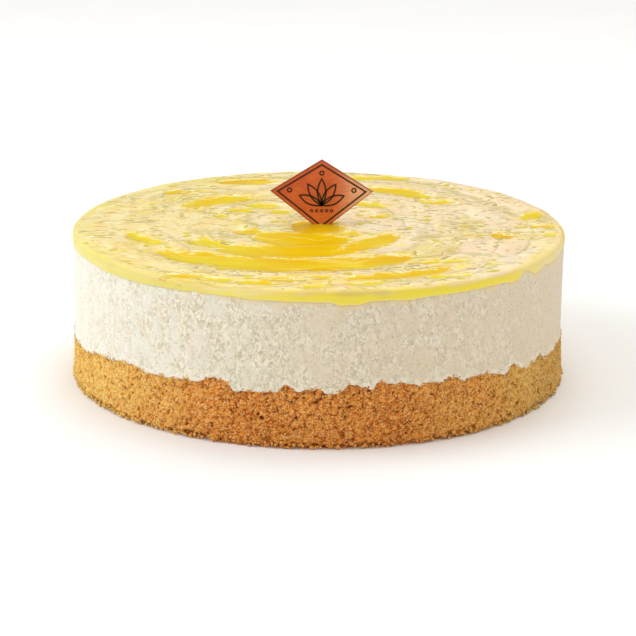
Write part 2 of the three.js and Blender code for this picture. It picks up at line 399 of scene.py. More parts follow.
WORN_DEPTH, WORN_DEPTH_SWING = 1.4, 1.6
BROWNING = [
    # (azimuth, share): how brown the sponge's side is baked
    (-130, 0.45),
    (-80, 0),
    (-45, 0.3),
    (-18, 0.85),
    (15, 0.95),
    (38, 0.55),
    (62, 0.3),
    (100, 0.6),
    (160, 0.85),
]
SPONGE_CRAGS = [
    # (azimuth, half width, rise): small crags on the edge, finer than the solid's facets
    (-68, 3.4, -0.6),
    (-57, 4.8, 0.9),
    (-43.6, 2.4, 0.4),
    (-37.5, 4.6, 0.5),
    (-30.2, 1.4, 0.3),
    (-23.3, 2, 0.5),
    (-20.3, 1.1, 0.4),
    (-17.7, 1.2, -0.8),
    (-8.6, 0.9, -0.4),
    (-6.2, 1.7, 0.6),
    (-3.7, 0.8, -0.2),
    (0.5, 1, 0.5),
    (4.4, 1.4, -0.4),
    (7.5, 1.8, 0.5),
    (11.6, 0.9, -0.5),
    (13.2, 1.1, 0.6),
    (19.2, 2.4, 0.7),
    (22.7, 1.1, -0.5),
    (27.5, 1.2, -0.4),
    (30, 1.6, 0.4),
    (41.7, 2.8, 0.5),
    (45.9, 1, -0.7),
    (48.2, 1.2, 0.7),
    (56, 0.9, 0.8),
    (57.8, 0.8, -0.6),
    (70, 2, -0.6),
]
BACK_CRAGS = 30  # more of them, spread over the sides and the back
BACK_AZIMUTHS = (74, 286)
BACK_HALF_WIDTHS = (0.9, 2.2)
BACK_RISES = (-0.5, 0.6)
EDGE_CRUMBLE = 0.22
EDGE_WAVER = 0.12
EDGE_DROP = 0.05


def sponge_profile(share):
    """The wall's radius from foot to edge: the foot spreads a little."""
    return CAKE_RADIUS + SPONGE_FOOT_OUT - SPONGE_TAPER * share


def crag_field(azimuth):
    """How far the small crags raise the sponge's edge."""
    draw = np.random.default_rng(11)
    places = draw.uniform(*BACK_AZIMUTHS, BACK_CRAGS)
    half_widths = draw.uniform(*BACK_HALF_WIDTHS, BACK_CRAGS)
    heights = draw.uniform(*BACK_RISES, BACK_CRAGS)
    return raised(azimuth, [*SPONGE_CRAGS, *zip(places, half_widths, heights)], 0.6)


def visible_edge(azimuth):
    """The height of the sponge's crumbly edge: that of the solid, with finer crags and crumbs on it."""
    rim = around(CAKE_RADIUS, azimuth, 0.0)
    crumbly = EDGE_CRUMBLE * fractal(rim / 1.4, 2, 51) + EDGE_WAVER * noise(rim / 3.5, 53)
    return sponge_edge(azimuth) + crag_field(azimuth) + crumbly - EDGE_DROP


def crumb_field(points):
    """The crumb on the wall, from about -1 in the gaps between crumbs to 1 on them, and each crumb's tone."""
    warped = points + CRUMB_WARP * np.stack([noise(points / 1.9, 31 + i) for i in range(3)], axis=-1)
    far, tone = nearest_grain(warped / CRUMB_SIZE, 3)
    fine, fine_tone = nearest_grain(warped / FINE_CRUMB_SIZE, 13)
    torn = fractal(points / 0.9, 2, 17)
    return 1.0 - 1.5 * far + 0.6 * (0.6 - fine) + 0.9 * torn, 0.6 * tone + 0.4 * fine_tone


def pore_field(points):
    """1 in the dark pores between crumbs and 0 elsewhere."""
    far, tag = nearest_grain(points / PORE_SPACING, 41)
    share = np.maximum(tag - 1 + PORE_SHARE, 0) / PORE_SHARE
    width = PORE_WIDTH + PORE_WIDTH_SPREAD * share**2
    return (share > 0) * (1 - smoothstep(far, 0.4 * width, width))


def make_sponge():
    azimuth = np.arange(SPONGE_STEPS) * 360 / SPONGE_STEPS
    rim = around(CAKE_RADIUS, azimuth, 0.0)
    edge = visible_edge(azimuth)
    share = np.linspace(0, 1, SPONGE_ROWS)[:, None]
    wall = around(sponge_profile(share), azimuth, share * edge)
    crumb, tone = crumb_field(wall)
    pore = pore_field(wall)
    worn_height = WORN_HEIGHT + WORN_HEIGHT_SWING * noise(rim / 3.1, 59)
    worn_depth = WORN_DEPTH + WORN_DEPTH_SWING * fractal(rim / 1.7, 2, 55)
    worn = worn_depth * (1 - smoothstep(share * edge / worn_height, 0.1, 1))
    calm = smoothstep(share, 0, 0.03)
    slow = SLOW_SWELL * fractal(wall / 6, 2, 21)
    stands = calm * (CRUMB_HEIGHT * (crumb - CRUMB_MEAN) + slow - PORE_DEPTH * pore) - worn
    wall = around(sponge_profile(share) + stands, azimuth, share * edge)
    ledge = [around(CAKE_RADIUS - inwards, azimuth, edge - down) for inwards, down in SPONGE_LEDGE]
    rings = np.concatenate([[around(CAKE_RADIUS - HIDDEN_REACH, azimuth, 0.0)], wall, ledge])
    inner = np.zeros((1, SPONGE_STEPS))
    brown = round_cake(azimuth, BROWNING) + 0.25 * fractal(wall / 11, 2, 57)

    def with_inner(field, below, above):
        """A field with numbers for the ring under the wall and the two behind its edge."""
        return np.concatenate([inner + below, field, inner + above, inner + above])

    fields = {
        # the crumb field paints shade into the gaps and pores and light onto the crests
        "crumb": with_inner(crumb - PORE_SHADE * pore, -1, 0),
        "tone": with_inner(tone, 0.5, 0.5),
        "brown": with_inner(brown, 0.7, 0.7),
        "from_edge": with_inner((1 - share) * edge, edge.mean(), 0),
    }
    return ringed_piece("sponge_crumb", rings, "sponge", ["sponge_base"], **fields)


# ---- Loose crumbs on the sponge ----
CRUMB_COUNTS = {"wall": 3200, "foot": 1150, "edge": 600}
CRUMB_RADII = (0.16, 0.42)
FOOT_CRUMB_GROWTH = 1.45  # how much larger the crumbs at the foot are
UP_THE_WALL = (0.02, 0.98)  # as a share of its height
OVER_THE_FLOOR = (0.9, 3.6)  # in the crumb's own radii, at the foot
UNDER_THE_EDGE = (0.25, 1.1)
OUT_OF_THE_WALL = (-0.15, 0.25)
INTO_THE_FOOT = (-0.45, 0.7)  # further in at the foot, where the wall is worn
CRUMPLING = (0.65, 1.25)  # how far a crumb's corners are pressed in or pulled out
BROWN_AND_PALE = (0.15, 0.85)  # the range of the crumbs' tones
# the loose crumbs are painted as lit crests of the crumb field
CRUMB_LIGHTNESS = 0.7  # on the crumb field's scale


def crumb_shape():
    """The corners and faces of a small round solid, to be crumpled into a crumb."""
    solid = bmesh.new()
    bmesh.ops.create_icosphere(solid, subdivisions=1, radius=1)
    corners = np.array([v.co for v in solid.verts])
    faces = np.array([[v.index for v in f.verts] for f in solid.faces])
    solid.free()
    return corners, faces


def make_crumbs():
    draw = np.random.default_rng(5)
    count = sum(CRUMB_COUNTS.values())
    azimuth = draw.uniform(0, 360, count)
    edge = visible_edge(azimuth)
    kind = np.repeat(list(CRUMB_COUNTS), list(CRUMB_COUNTS.values()))
    size = draw.uniform(*CRUMB_RADII, count) * np.where(kind == "foot", FOOT_CRUMB_GROWTH, 1.0)
    z = np.where(kind == "wall", draw.uniform(*UP_THE_WALL, count) * edge, 0.0)
    z = np.where(kind == "foot", size * draw.uniform(*OVER_THE_FLOOR, count), z)
    z = np.where(kind == "edge", edge - draw.uniform(*UNDER_THE_EDGE, count), z)
    radius = sponge_profile(z / edge) + draw.uniform(*OUT_OF_THE_WALL, count)
    radius -= np.where(kind == "foot", draw.uniform(*INTO_THE_FOOT, count), 0.0)
    centre = around(radius, azimuth, np.maximum(z, 0.8 * size))
    corners, faces = crumb_shape()
    each = len(corners)
    crumpled = corners[None] * draw.uniform(*CRUMPLING, (count, each, 1))
    vertices = centre[:, None] + crumpled * size[:, None, None]
    vertices[..., 2] = np.maximum(vertices[..., 2], 0.0)
    all_faces = faces[None] + each * np.arange(count)[:, None, None]
    tone = draw.uniform(*BROWN_AND_PALE, count)
    brown = round_cake(azimuth, BROWNING)
    fields = {"crumb": np.full(count, CRUMB_LIGHTNESS), "tone": tone, "brown": brown, "from_edge": edge - z}
    fields = {name: np.repeat(values, each) for name, values in fields.items()}
    vertices, all_faces = vertices.reshape(-1, 3), all_faces.reshape(-1, 3)
    return as_piece("sponge_loose_crumbs", vertices, all_faces, "sponge", **fields)


# ---- Mousse ----
MOUSSE_STEPS = 1200
MOUSSE_ROWS = 66
MOUSSE_INSET = 0.12  # how far in from the cake's side its mean surface lies
UNDER_SPONGE_EDGE = 0.9  # how far down it goes behind the sponge's edge
UNDER_GEL = 0.6  # how far up it goes behind the gel's lower edge
TUCK = 0.45  # how far in it goes there
SQUEEZED_OUT = 0.2  # how far it bulges just over the sponge
DRAG_DEPTH = 0.05
MOTTLING_DEPTH = 0.12
SLOW_DEPTH = 0.12
PIT_DEPTH = 0.2
PIT_SHARE = 0.7  # of the cells that have one where the side is most pitted
FAR_OFF = 20  # a distance from either edge at which the paint is plain
PITTING = [
    # (azimuth, share): how strongly the mousse's side is mottled and pitted
    (-100, 0.35),
    (-66, 0.3),
    (-48, 0.8),
    (-25, 1),
    (8, 0.8),
    (25, 0.7),
    (50, 0.35),
    (75, 0.2),
    (130, 0.8),
    (-150, 0.9),
]


def mousse_relief(points, pitted):
    """The print that the ring left on the mousse's side: soft drags, fine mottling and small pits."""
    drags = DRAG_DEPTH * fractal(points / np.array([1.2, 1.2, 7.0]), 2, 61)
    mottling = MOTTLING_DEPTH * fractal(points / np.array([0.95, 0.95, 1.35]), 2, 65)
    slow = SLOW_DEPTH * noise(points / 14, 69)
    far, tag = nearest_grain(points / np.array([1.5, 1.5, 1.9]), 71)
    width = 0.16 + 0.14 * tag
    pit = (tag > 1 - PIT_SHARE * pitted) * (1 - smoothstep(far, 0.3 * width, width))
    return pitted * (drags + mottling) + slow - PIT_DEPTH * pit, pit


def make_mousse():
    azimuth = np.arange(MOUSSE_STEPS) * 360 / MOUSSE_STEPS
    sponge_top = visible_edge(azimuth)
    gel_foot = glaze_edge(azimuth)
    foot = sponge_top - UNDER_SPONGE_EDGE
    head = gel_foot + UNDER_GEL
    share = np.linspace(0, 1, MOUSSE_ROWS)[:, None]
    z = foot + share * (head - foot)
    wall = around(CAKE_RADIUS, azimuth, z)
    pitted = round_cake(azimuth, PITTING) + 0.25 * noise(wall / 9, 73)
    relief, pit = mousse_relief(wall, pitted)
    squeezed_out = SQUEEZED_OUT * (1 - smoothstep(z - sponge_top, 0.3, 1.1))
    tucked = TUCK * smoothstep(z, gel_foot - 0.1, gel_foot + 0.35)
    wall = around(CAKE_RADIUS - MOUSSE_INSET + relief + squeezed_out - tucked, azimuth, z)
    below, above = (around(CAKE_RADIUS - HIDDEN_REACH, azimuth, height) for height in (foot, head))
    rings = np.concatenate([[below], wall, [above]])
    inner = np.zeros((1, MOUSSE_STEPS))
    fields = {
        "pitted": np.concatenate([inner, pitted, inner]),
        "pit": np.concatenate([inner, pit, inner]),
        "over_sponge": np.concatenate([inner, z - sponge_top, inner + FAR_OFF]),
        "under_gel": np.concatenate([inner + FAR_OFF, gel_foot - z, inner]),
    }
    return ringed_piece("mousse_side", rings, "mousse", ["mousse"], **fields)


# ---- Fruit glaze ----
GLAZE_STEPS = 900
TOP_RINGS = 98
FLAT_RADIUS = 67.0  # how round the knife's wake runs at the front and the back
FLATTENING = 0.7  # how far it follows that, rather than the swirl's circles
FAINT_FOLDS = 0.35  # how strong the folds are where the wake is faint
FAINT_CREASES = 0.1
FOLD_PITCH = 7.7
FOLD_HEIGHT = 0.2
FOLD_BENDS = [(3.2, 24), (1.7, 9)]  # (height, length) of the waves that bend the folds out of round
CREASE_PITCH = 3.1
CREASE_HEIGHT = 0.1
CREASE_BENDS = [(2.4, 12), (1.2, 4.5)]
CLOUD_HEIGHT = 0.12
STROKE_HEIGHT = 0.06
LAP_FALL = 0.16  # the share of a fold's pitch in which it falls
RICHNESS = [
    # (azimuth, share): how yellow the gel is at the cake's side
    (-150, 0.5),
    (-85, 0),
    (-40, 0.2),
    (-24, 0.3),
    (-8, 0.8),
    (44, 1),
    (51, 0.9),
    (57, 0.2),
    (68, 0.3),
    (80, 0.6),
]
RIM_PROFILE = [
    # (outwards from the cake's side, share of the way up from the gel's lower edge to its shoulder)
    (-1.2, 0.12),
    (-0.3, 0),
    (0, 0.04),
    (0.1, 0.18),
    (0.13, 0.45),
    (0.12, 0.75),
    (0.05, 1),
]
RIM_RAGGEDNESS = 0.14
RIM_WAVER = 0.1
RIM_LUMPS = 0.22
CREST_DROP = 0.35  # how far the top's mean lies under the highest point
SHOULDER_DROP = 1.75  # how far under it the rim starts to bend inwards
SHOULDER_STEPS = 7
SHOULDER_WIDTH = 2.4


def from_swirl(points):
    """x and y from the swirl's centre."""
    return points[..., 0] - SWIRL_CENTRE[0], points[..., 1] - SWIRL_CENTRE[1]


def about_swirl(points):
    """Azimuth and radius about the swirl's centre."""
    x, y = from_swirl(points)
    return np.degrees(np.arctan2(x, -y)), np.hypot(x, y)


def along_swirl(points, radius, grain, stretch):
    """Places in which noise has bumps of one grain across the swirl, drawn out along it."""
    x, y = from_swirl(points)
    long = grain * stretch
    return np.stack([x / long, y / long, radius / grain], axis=-1)


def streak_fields(points):
    """How far each point is inside the nearest streak of thick gel (negative outside), the streak's half
    width, which side of it the point is on (1 at the front) and its golden share.
    """
    x, y = points[..., 0], points[..., 1]
    found = [np.full(x.shape, start) for start in (-9.0, 1.0, 0.0, 0.0)]
    for x0, y0, x1, y1, bow, half_width, golden in STREAKS:
        share = np.clip((x - x0) / (x1 - x0), 0, 1)
        slope = (y1 - y0 - 4 * bow * (1 - 2 * share)) / (x1 - x0)
        middle = y0 + (y1 - y0) * share - 4 * bow * share * (1 - share)
        across = (y - middle) / np.sqrt(1 + slope**2)
        past_end = np.maximum(np.maximum(x0 - x, x - x1), 0)
        taper = half_width * np.sqrt(1 - abs(2 * share - 1) ** 2.5)
        within = taper - np.hypot(across, past_end)
        nearer = within > found[0]
        for values, value in zip(found, (within, half_width, -across / half_width, golden)):
            np.copyto(values, value, where=nearer)
    return found


def shade_field(points):
    """1 where the painted shade of the soft hollows lies and 0 elsewhere."""
    bend = np.stack([2.5 * noise(points / 7, 241), 2.5 * noise(points / 7, 242)], axis=-1)
    flat = points[..., :2] + bend
    shade = np.zeros(flat.shape[:-1])
    for x0, y0, x1, y1, half_width in SHADES:
        start, run = np.array([x0, y0]), np.array([x1 - x0, y1 - y0])
        along = np.clip((flat - start) @ run / (run @ run), 0, 1)
        away = np.linalg.norm(flat - start - along[..., None] * run, axis=-1)
        shade = np.maximum(shade, 1 - smoothstep(away / half_width, 0.3, 1.3))
    return shade


def bent_by(radius, points, waves, salt):
    """A radius that waves have bent out of round."""
    for i, (height, length) in enumerate(waves):
        radius = radius + height * noise(points / length, salt + i)
    return radius


def gel_fields(points, over):
    """What the knife left in the gel: smooth fields, from which its relief and its colours are made.

    Over the shoulder the pattern runs on down the side, so `over` is how far a point lies below the crest.
    Where the knife ran from side to side its wake is strong, and it is faint where it ran to or fro.
    """
    azimuth, radius = about_swirl(points)
    sideways = smoothstep(abs(np.cos(np.radians(azimuth))), 0.3, 0.85)
    flattened = abs(points[..., 1]) + from_swirl(points)[0] ** 2 / (2 * FLAT_RADIUS)
    radius = radius + FLATTENING * sideways * (flattened - radius) + over
    bent = bent_by(radius, points, FOLD_BENDS, 201)
    finely_bent = bent_by(radius, points, CREASE_BENDS, 211)
    folded = smoothstep(fractal(along_swirl(points, bent, 8, 3), 2, 205), -0.05, 0.3)
    creased = smoothstep(fractal(along_swirl(points, finely_bent, 4, 2.6), 2, 215), 0.02, 0.35)
    thick, half_width, side, golden = streak_fields(points)
    tearing = 2.2 + 2.4 * smoothstep(half_width, 1.5, 6.0)
    return {
        "fold": bent / FOLD_PITCH,
        "fold_share": (FAINT_FOLDS + (1 - FAINT_FOLDS) * sideways) * folded,
        "crease": finely_bent / CREASE_PITCH,
        "crease_share": (FAINT_CREASES + (1 - FAINT_CREASES) * sideways) * creased,
        "clouds": fractal(along_swirl(points, bent, 7, 2.6), 3, 220),
        "strokes": fractal(along_swirl(points, finely_bent, 2.6, 3), 2, 225),
        "shade": shade_field(points),
        "thick": thick,
        "side": side,
        "golden": golden,
        "ragged": tearing * fractal(along_swirl(points, finely_bent, 2.0, 6), 3, 230),
        "hairs": fractal(along_swirl(points, finely_bent, 1.3, 10), 2, 250),
    }


def lapped(phase):
    """A fold laid over the next: over each unit of phase it climbs slowly from 0 to 1 and falls back fast."""
    part = phase % 1
    return np.minimum(part / (1 - LAP_FALL), (1 - part) / LAP_FALL)


def gel_relief(points, fields):
    """The height of the gel's surface above its mean."""
    radius = about_swirl(points)[1]
    wake = smoothstep(radius, *CALM_MIDDLE)
    ridge = -0.5 * RIDGE_HEIGHT * np.cos(2 * np.pi * (radius - RIDGE_TROUGH) / RIDGE_PITCH)
    folds = FOLD_HEIGHT * fields["fold_share"] * (lapped(fields["fold"]) - 0.5)
    creases = CREASE_HEIGHT * fields["crease_share"] * (lapped(fields["crease"]) - 0.5)
    soft = CLOUD_HEIGHT * fields["clouds"] + STROKE_HEIGHT * fields["strokes"]
    thick = smoothstep(fields["thick"] + fields["ragged"], -1.5, 1.5)
    ridge *= 0.6 + 0.5 * noise(points / 26, 245)
    return wake * ridge + (1 - 0.8 * thick) * (folds + creases + soft) - STREAK_DEPTH * thick


def make_glaze():
    azimuth = np.arange(GLAZE_STEPS) * 360 / GLAZE_STEPS
    rim_place = around(CAKE_RADIUS, azimuth, 0.0)
    edge = glaze_edge(azimuth) + RIM_RAGGEDNESS * fractal(rim_place / 1.8, 2, 91)
    crest = CAKE_HEIGHT - CREST_DROP
    lumps = RIM_LUMPS * fractal(rim_place / 7, 2, 93)
    shoulder = CAKE_HEIGHT - SHOULDER_DROP + lumps
    waver = RIM_WAVER * fractal(rim_place / 5, 2, 95)

    side = [
        around(CAKE_RADIUS + out + waver, azimuth, edge + up * (shoulder - edge))
        for out, up in RIM_PROFILE
    ]
    quarter = np.linspace(0, np.pi / 2, SHOULDER_STEPS + 1)[1:]
    inwards = SHOULDER_WIDTH * (1 - np.cos(quarter))
    upwards = np.sin(quarter)
    bend = [
        around(CAKE_RADIUS + RIM_PROFILE[-1][0] + waver - i, azimuth, shoulder + u * (crest - shoulder))
        for i, u in zip(inwards, upwards)
    ]
    shares = np.linspace(1, 0, TOP_RINGS + 1)[1:-1, None]
    flat = around(shares * (CAKE_RADIUS - SHOULDER_WIDTH), azimuth, crest)
    rings = np.concatenate([side, bend, flat])
    inside = CAKE_RADIUS - np.hypot(rings[..., 0], rings[..., 1])
    near_rim = (rings[..., 2] > shoulder) * (1 - smoothstep(inside, 1.0, 9.0))
    rings[..., 2] += near_rim * lumps

    fields = gel_fields(rings, crest - rings[..., 2])
    up = (rings[..., 2] - edge) / (crest - edge)
    on_top = smoothstep(inside, 0.3, 3.0)
    relief = gel_relief(rings, fields)
    on_side = (1 - on_top) * smoothstep(up, 0.0, 0.3) * 0.5
    swollen = 1 + on_side * relief / CAKE_RADIUS
    rings[..., :2] *= swollen[..., None]
    rings[..., 2] += on_top * relief
    rich = np.broadcast_to(round_cake(azimuth, RICHNESS), up.shape)
    fields.update(up=up, inside=inside, rich=rich)
    return ringed_piece("fruit_gel", rings, "glaze", ["fruit_glaze"], **fields)


# ---- The print on the plaque ----
KITE_UPPER = 9.6  # from the plaque's widest line up to its top
KITE_LOWER = PLAQUE_HIGH[2] - PLAQUE_LOW[2] - KITE_UPPER
KITE_HALF = 0.5 * (PLAQUE_HIGH[0] - PLAQUE_LOW[0])
KITE_MIDDLE = 0.5 * (PLAQUE_HIGH[0] + PLAQUE_LOW[0])  # x of its upright diagonal
KITE_WIDEST = PLAQUE_HIGH[2] - KITE_UPPER  # height of its level diagonal
PRINT_STANDS = 0.04  # the ink's height over the face
LINE_WIDTH = 0.5
SHARPEST_CORNER = 0.45  # cosine of half the sharpest turn that a line's mitres follow
BORDER_INSET = 1.25
LEAF_ANGLES = (-66, -33, 0, 33, 66)
LEAF_ROOT = np.array([0.0, -4.2])  # sideways and upwards from where the diagonals cross
LEAF_LENGTH = 8.0
LEAF_SHORTENING = 0.012  # for each degree that a leaf leans
LEAF_WIDTH = 2.5
LEAF_POINTS = 13  # along each side
RING_POINTS = 14
RINGS = [
    # (sideways, upwards, radius, line width)
    (-9.6, 0.4, 0.6, 0.45),
    (9.6, 0.4, 0.6, 0.45),
    (0, 5.6, 0.6, 0.45),
    *((1.5 * i, -5.9, 0.36, 0.3) for i in (-2, -1, 0, 1, 2)),
]


def kite(inset):
    """The plaque's outline moved inwards, about the crossing of its diagonals."""
    top = KITE_UPPER - inset * math.hypot(KITE_HALF, KITE_UPPER) / KITE_HALF
    bottom = KITE_LOWER - inset * math.hypot(KITE_HALF, KITE_LOWER) / KITE_HALF
    side = KITE_HALF * 0.5 * (top / KITE_UPPER + bottom / KITE_LOWER)
    return np.array([[0, top], [side, 0], [0, -bottom], [-side, 0]])


def leaf(angle):
    """A leaf's outline, pointed at both ends, which leans by an angle."""
    t = np.linspace(0, 1, LEAF_POINTS)
    half = 0.5 * LEAF_WIDTH * np.sin(np.pi * t) ** 0.85
    along = np.concatenate([t, t[-2:0:-1]]) * (LEAF_LENGTH - LEAF_SHORTENING * abs(angle))
    across = np.concatenate([half, -half[-2:0:-1]])
    sine, cosine = math.sin(math.radians(angle)), math.cos(math.radians(angle))
    return LEAF_ROOT + np.stack([across * cosine + along * sine, along * cosine - across * sine], axis=1)


def ring(sideways, upwards, radius):
    a = np.linspace(0, 2 * np.pi, RING_POINTS, endpoint=False)
    return np.array([sideways, upwards]) + radius * np.stack([np.cos(a), np.sin(a)], axis=1)


def closed_line(outline, width):
    """The two sides of a line of the given width that runs round an outline."""
    before, after = np.roll(outline, 1, axis=0), np.roll(outline, -1, axis=0)
    back, ahead = outline - before, after - outline
    back /= np.linalg.norm(back, axis=1, keepdims=True)
    ahead /= np.linalg.norm(ahead, axis=1, keepdims=True)
    mitre = back + ahead
    mitre /= np.linalg.norm(mitre, axis=1, keepdims=True)
    normal = np.stack([mitre[:, 1], -mitre[:, 0]], axis=1)
    lean = np.clip(np.sum(mitre * ahead, axis=1, keepdims=True), SHARPEST_CORNER, 1)
    return outline + 0.5 * width * normal / lean, outline - 0.5 * width * normal / lean


def printed_line(outline, width):
    """A closed strip of ink, as a thin solid on the plaque's face."""
    outer, inner = closed_line(outline, width)
    front, back = PLAQUE_LOW[1] - PRINT_STANDS, PLAQUE_LOW[1] + PRINT_STANDS
    n = len(outline)
    corners = ((outer, front), (inner, front), (inner, back), (outer, back))
    loops = [
        np.stack([KITE_MIDDLE + line[:, 0], np.full(n, depth), KITE_WIDEST + line[:, 1]], axis=1)
        for line, depth in corners
    ]
    here = np.arange(n)
    after = (here + 1) % n
    quads = []
    for k in range(len(loops)):
        first, second = n * k, n * ((k + 1) % len(loops))
        quads.append(np.stack([here + first, after + first, after + second, here + second], axis=1))
    return np.concatenate(loops), np.concatenate(quads)


def make_print():
    """A border, five leaves and some rings, all of thin line."""
    outlines = [(kite(BORDER_INSET), LINE_WIDTH)]
    outlines += [(leaf(angle), LINE_WIDTH) for angle in LEAF_ANGLES]
    outlines += [(ring(*place_and_radius), width) for *place_and_radius, width in RINGS]
    vertices, faces, count = [], [], 0
    for outline, width in outlines:
        its_vertices, its_faces = printed_line(outline, width)
        vertices.append(its_vertices)
        faces.append(its_faces + count)
        count += len(its_vertices)
    return as_piece("plaque_print", np.concatenate(vertices), np.concatenate(faces), "plaque", smooth=False)


# ---- Paints ----
def sponge_paint():
    finish = {"Subsurface_Weight": 0.08, "Subsurface_Scale": 0.002, "Specular_IOR_Level": 0.2}
    paint = Paint("sponge", Roughness=0.92, **finish)
    step, mix, coat = paint.step, paint.mix, paint.coat
    grain = paint.noise(0.5, 3)
    brown = step(paint.field("brown"), 0, 1)
    crumb = paint.plus(paint.field("crumb"), step(grain, 0.35, 0.65, -0.45, 0.45))
    # painted light and shade: lighter on the crests of the crumb field's relief and dimmer in its gaps
    bright = mix(brown, 0xFFDC7E, 0xFEAA4D)
    dim = mix(brown, 0xFAB650, 0xC86E25)
    paint.colour = mix(step(crumb, -0.5, 1), dim, bright)
    # painted shade deep in the gaps between crumbs and in the pores
    coat(0x703A16, step(crumb, -0.9, -0.2, 0.85, 0))
    tone = paint.field("tone")
    coat(0xFFD68C, step(tone, 0.68, 0.9, 0, 0.25))
    coat(0xB06028, step(tone, 0.1, 0.3, 0.3, 0))
    crust = step(paint.field("from_edge"), 0.2, 2.6, 0.6, 0)
    coat(0xB85C28, crust, step(paint.noise(5), 0.42, 0.6))
    # painted shade in the holes, which the bump also sinks
    holes = paint.noise(0.52, 1.5, warp=0.6)
    coat(mix(brown, 0xBA762E, 0x8A4818), step(holes, 0.32, 0.46, 0.7, 0))
    glints = paint.noise(0.5, 1, warp=0.6)
    coat(0xFFD690, step(glints, 0.55, 0.68, 0, 0.85))
    # painted shade: greyer towards the right, away from the light
    coat(mix(step(paint.x, 45, 70), 0xFFFFFF, 0xEEF5FF), 1, how="MULTIPLY")
    return paint.finish(paint.bump(holes, 0.45, paint.bump(grain, 0.2)))


def mousse_paint():
    finish = {"Subsurface_Weight": 0.25, "Subsurface_Scale": 0.003, "Specular_IOR_Level": 0.3}
    paint = Paint("mousse", Roughness=0.6, **finish)
    times, step, coat = paint.times, paint.step, paint.coat
    pitted = paint.field("pitted")
    patches = step(paint.noise((5, 5, 6.5)), 0.38, 0.58, 0.2, 1)
    clumped = times(pitted, patches)
    mottle = paint.noise((1.1, 1.1, 1.54), 3, 0.65, 0.9)
    # painted light: paler at the left, where the light falls, and darker and warmer towards the right
    paint.colour = paint.mix(step(paint.x, -60, 20), 0xF3EFE2, 0xEBDCC1)
    coat(paint.mix(step(mottle, 0.36, 0.62), 0xD2C5A8, 0xFCF3E2), clumped)
    blotches = paint.noise((2.6, 2.6, 3.38))
    coat(0xCEC4A0, step(blotches, 0.5, 0.66, 0, 0.22), pitted)
    # painted shade in the pits
    coat(0xB8B08C, paint.field("pit"), 0.4)
    dots = paint.noise((0.5, 0.5, 0.7), 1)
    coat(0xA69C78, step(dots, 0.63, 0.7, 0, 0.5))
    glints = paint.noise((0.56, 0.56, 0.896), 1)
    coat(0xFFF9E8, step(glints, 0.6, 0.7, 0, 0.7), clumped)

    # patches stained by the gel above, and pale ones along the sponge below
    under_gel = step(paint.field("under_gel"), 0.2, 2.2, 0.8, 0)
    stained = times(under_gel, step(paint.x, -60, -5, 0.1, 1))
    coat(0xF6DAAE, stained, step(paint.noise(4), 0.42, 0.56, 0.15, 1))
    lip = step(paint.field("over_sponge"), 0.1, 0.8, 0.75, 0)
    coat(0xFFF1E0, lip, step(paint.noise(1.6), 0.46, 0.54))
    fine = paint.noise((0.45, 0.45, 0.72), 3)
    return paint.finish(paint.bump(fine, 0.12))


def at_left(gel):
    """1 at the cake's left and 0 in the rest."""
    return gel.step(gel.x, -45, -25, 1, 0)


def on_flat(gel):
    """1 on the flat top and 0 on the rim, which looks wider at the left."""
    inside = gel.field("inside")
    return gel.between(at_left(gel), gel.step(inside, 0.2, 2), gel.step(inside, 0.4, 3))


def tinted(gel, left, right):
    """A colour that changes from the cake's left to its right."""
    return gel.mix(gel.step(gel.x, -60, 40), left, right)


def coat_pale_gel(gel):
    """The pale gel, clouded with peach and lemon, with painted shade in soft hollows and painted shade and
    highlights along its strokes, and more of the lemon along the rim.
    """
    times, step, coat = gel.times, gel.step, gel.coat
    clouds, strokes, inside = (gel.field(name) for name in ("clouds", "strokes", "inside"))
    # painted light: more yellow at the left and more peach at the right, from how the light falls across the
    # top
    pale = tinted(gel, 0xF7E3A1, 0xFCEACF)
    peach = tinted(gel, 0xF6DC91, 0xFBE1BE)
    gel.colour = gel.mix(step(clouds, -0.3, 0), pale, peach)
    coat(tinted(gel, 0xF0E06E, 0xECD88A), step(clouds, 0.12, 0.36, 0, 0.8))
    bleeding = step(gel.field("thick"), -6, 0.5, 0, 0.9)
    coat(0xF2D44C, bleeding, step(strokes, -0.5, 0.2))
    # painted shade in the soft hollows, and painted shade and highlights along the strokes
    coat(0xD6C68A, gel.field("shade"), step(strokes, -0.6, 0.2, 0.45, 0.8))
    coat(0xD6C580, step(inside, 1, 5, 0.2, 1), step(strokes, 0.2, 0.45, 0, 0.5))
    coat(0xFFF0BA, step(strokes, -0.5, -0.2, 0.7, 0))
    ragged_inside = gel.plus(inside, step(gel.noise(5), 0.3, 0.7, -4, 4))
    rim = times(step(ragged_inside, -1, 6, 0.8, 0), step(gel.y, -66, -30, 0.5, 1))
    rim = times(rim, step(gel.x, 30, 52, 1, 0.3))
    coat(tinted(gel, 0xF3EA8E, 0xEEE074), rim)


def coat_wake(gel):
    """The folds and creases of the knife's wake: painted shade on one side and a painted highlight on the
    other.
    """
    times, step, coat = gel.times, gel.step, gel.coat
    inside = gel.field("inside")
    left_rim, right_rim = step(inside, 0.5, 4, 0.2, 1), step(inside, 0.2, 1.5, 0.15, 1)
    level = gel.between(at_left(gel), right_rim, left_rim)
    share = gel.field("fold_share")
    fold = gel.number("FRACT", gel.field("fold"))
    coat(0xD6C582, share, step(fold, 0.3, 0.97, 0, 0.45))
    share = times(level, share)
    line = times(step(fold, 0.84, 0.93, 0, 0.85), step(fold, 0.985, 1, 1, 0))
    coat(0xAA9654, share, line)
    coat(0xFFF3BC, share, step(fold, 0.03, 0.14, 0.85, 0))
    share = times(level, gel.field("crease_share"))
    crease = gel.number("FRACT", gel.field("crease"))
    coat(0xB8A45C, share, step(crease, 0.68, 0.88, 0, 0.65))
    coat(0xFFF3BC, share, step(crease, 0.03, 0.22, 0.8, 0))


